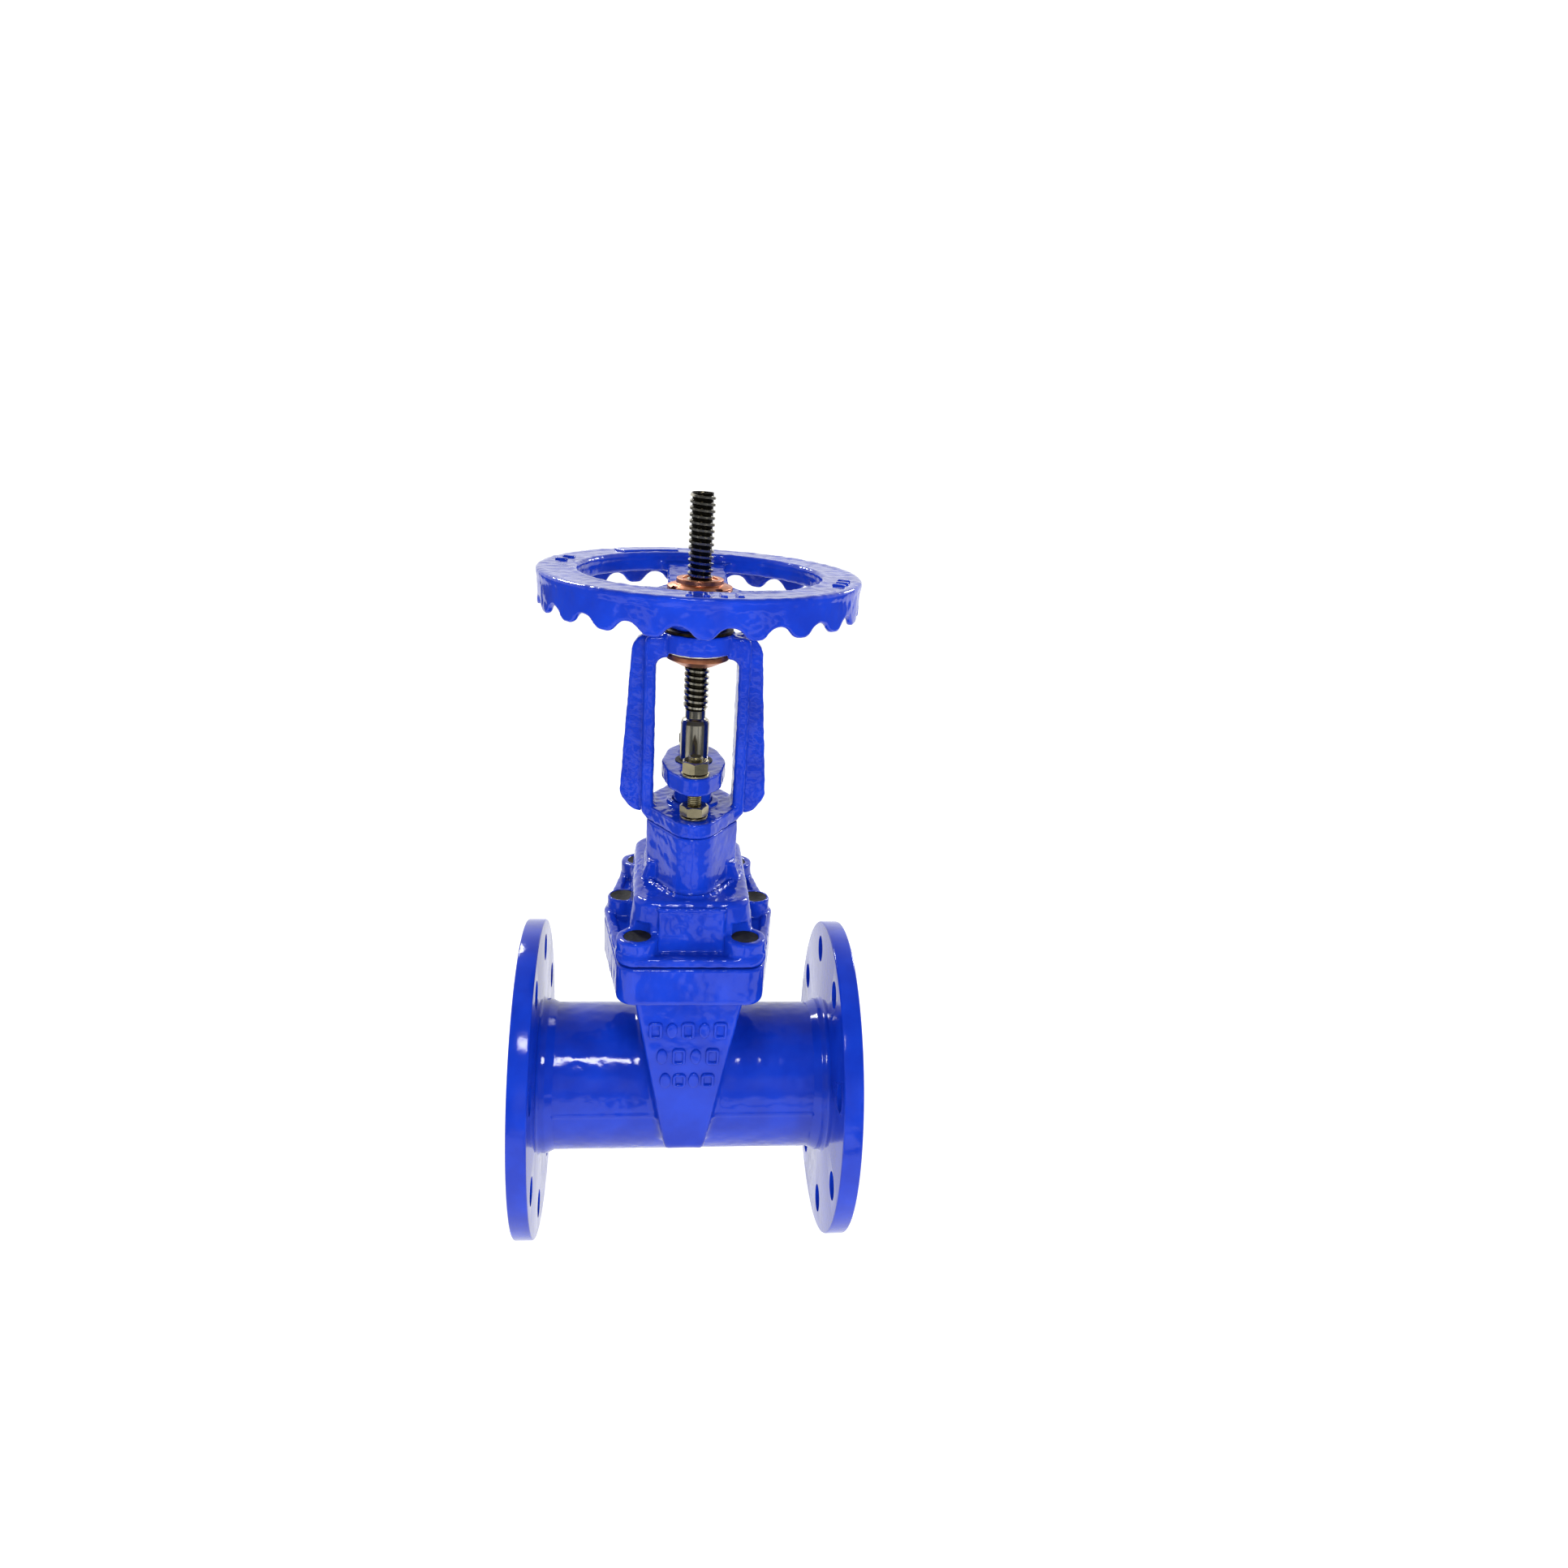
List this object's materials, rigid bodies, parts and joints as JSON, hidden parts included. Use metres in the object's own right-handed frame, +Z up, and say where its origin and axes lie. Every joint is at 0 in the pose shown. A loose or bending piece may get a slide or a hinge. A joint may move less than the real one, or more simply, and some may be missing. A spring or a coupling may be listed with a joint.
{
  "type": "gate valve",
  "caption": "Blue flanged gate valve with an outside screw and yoke: a wavy-edged handwheel turns a nut that raises the threaded stem and its rubber wedge.",
  "frame": {"origin": "on the floor midway between the two flanges, straight under the stem; the pipe's centre line is 110 mm above it", "axes": "+X along the pipe towards the right-hand flange, +Y away from the viewer, +Z up the stem"},
  "size_m": [0.229, 0.22, 0.519],
  "materials": {
    "blue_epoxy": "glossy epoxy powder coat over cast iron",
    "bronze": "turned bronze",
    "brass": "turned brass",
    "plated_steel": "yellow zinc plate",
    "stem_steel": "turned stainless steel",
    "ductile_iron": "cast",
    "black_rubber": "moulded",
    "graphite_packing": "braided",
    "nylon": "moulded",
    "bolt_seal": "poured sealing compound"
  },
  "bodies": {
    "valve": {"body": "blue_epoxy", "bonnet": "blue_epoxy", "yoke": "blue_epoxy", "gland": "blue_epoxy", "bonnet_gasket": "black_rubber", "stem_wiper": "black_rubber", "bonnet_bolt_1": "plated_steel", "bolt_seal_1": "bolt_seal", "bonnet_bolt_2": "plated_steel", "bolt_seal_2": "bolt_seal", "bonnet_bolt_3": "plated_steel", "bolt_seal_3": "bolt_seal", "bonnet_bolt_4": "plated_steel", "bolt_seal_4": "bolt_seal", "bonnet_bolt_5": "plated_steel", "bolt_seal_5": "bolt_seal", "bonnet_bolt_6": "plated_steel", "bolt_seal_6": "bolt_seal", "packing_base_ring": "brass", "back_seat_bush": "brass", "packing_ring_1": "graphite_packing", "packing_ring_2": "graphite_packing", "packing_ring_3": "graphite_packing", "packing_ring_4": "graphite_packing", "gland_stud_front": "plated_steel", "yoke_washer_front": "plated_steel", "yoke_nut_front": "plated_steel", "gland_washer_front": "plated_steel", "gland_nut_front": "plated_steel", "gland_stud_rear": "plated_steel", "yoke_washer_rear": "plated_steel", "yoke_nut_rear": "plated_steel", "gland_washer_rear": "plated_steel", "gland_nut_rear": "plated_steel"},
    "drive": {"stem_nut": "bronze", "handwheel": "blue_epoxy", "wheel_key": "plated_steel", "wheel_lock_nut": "bronze", "thrust_washer_upper": "bronze", "thrust_washer_lower": "nylon"},
    "rising": {"stem": "stem_steel", "wedge_core": "ductile_iron", "wedge_rubber": "black_rubber", "wedge_nut": "brass", "wedge_shoe_front": "nylon", "wedge_shoe_rear": "nylon"}
  },
  "joints": [
    {"name": "handwheel_turn", "type": "hinge", "parent": "valve", "child": "drive", "pos_m": [0, 0, 0.45], "axis": [0, 0, 1], "range_deg": [-5215, 3055]},
    {"name": "stem_lift", "type": "slide", "parent": "valve", "child": "rising", "axis": [0, 0, 1], "range_m": [-0.058, 0.034]}
  ],
  "couplings": [
    {"joint": "stem_lift", "follows": "handwheel_turn", "m_per_rad": 0.00063662}
  ]
}
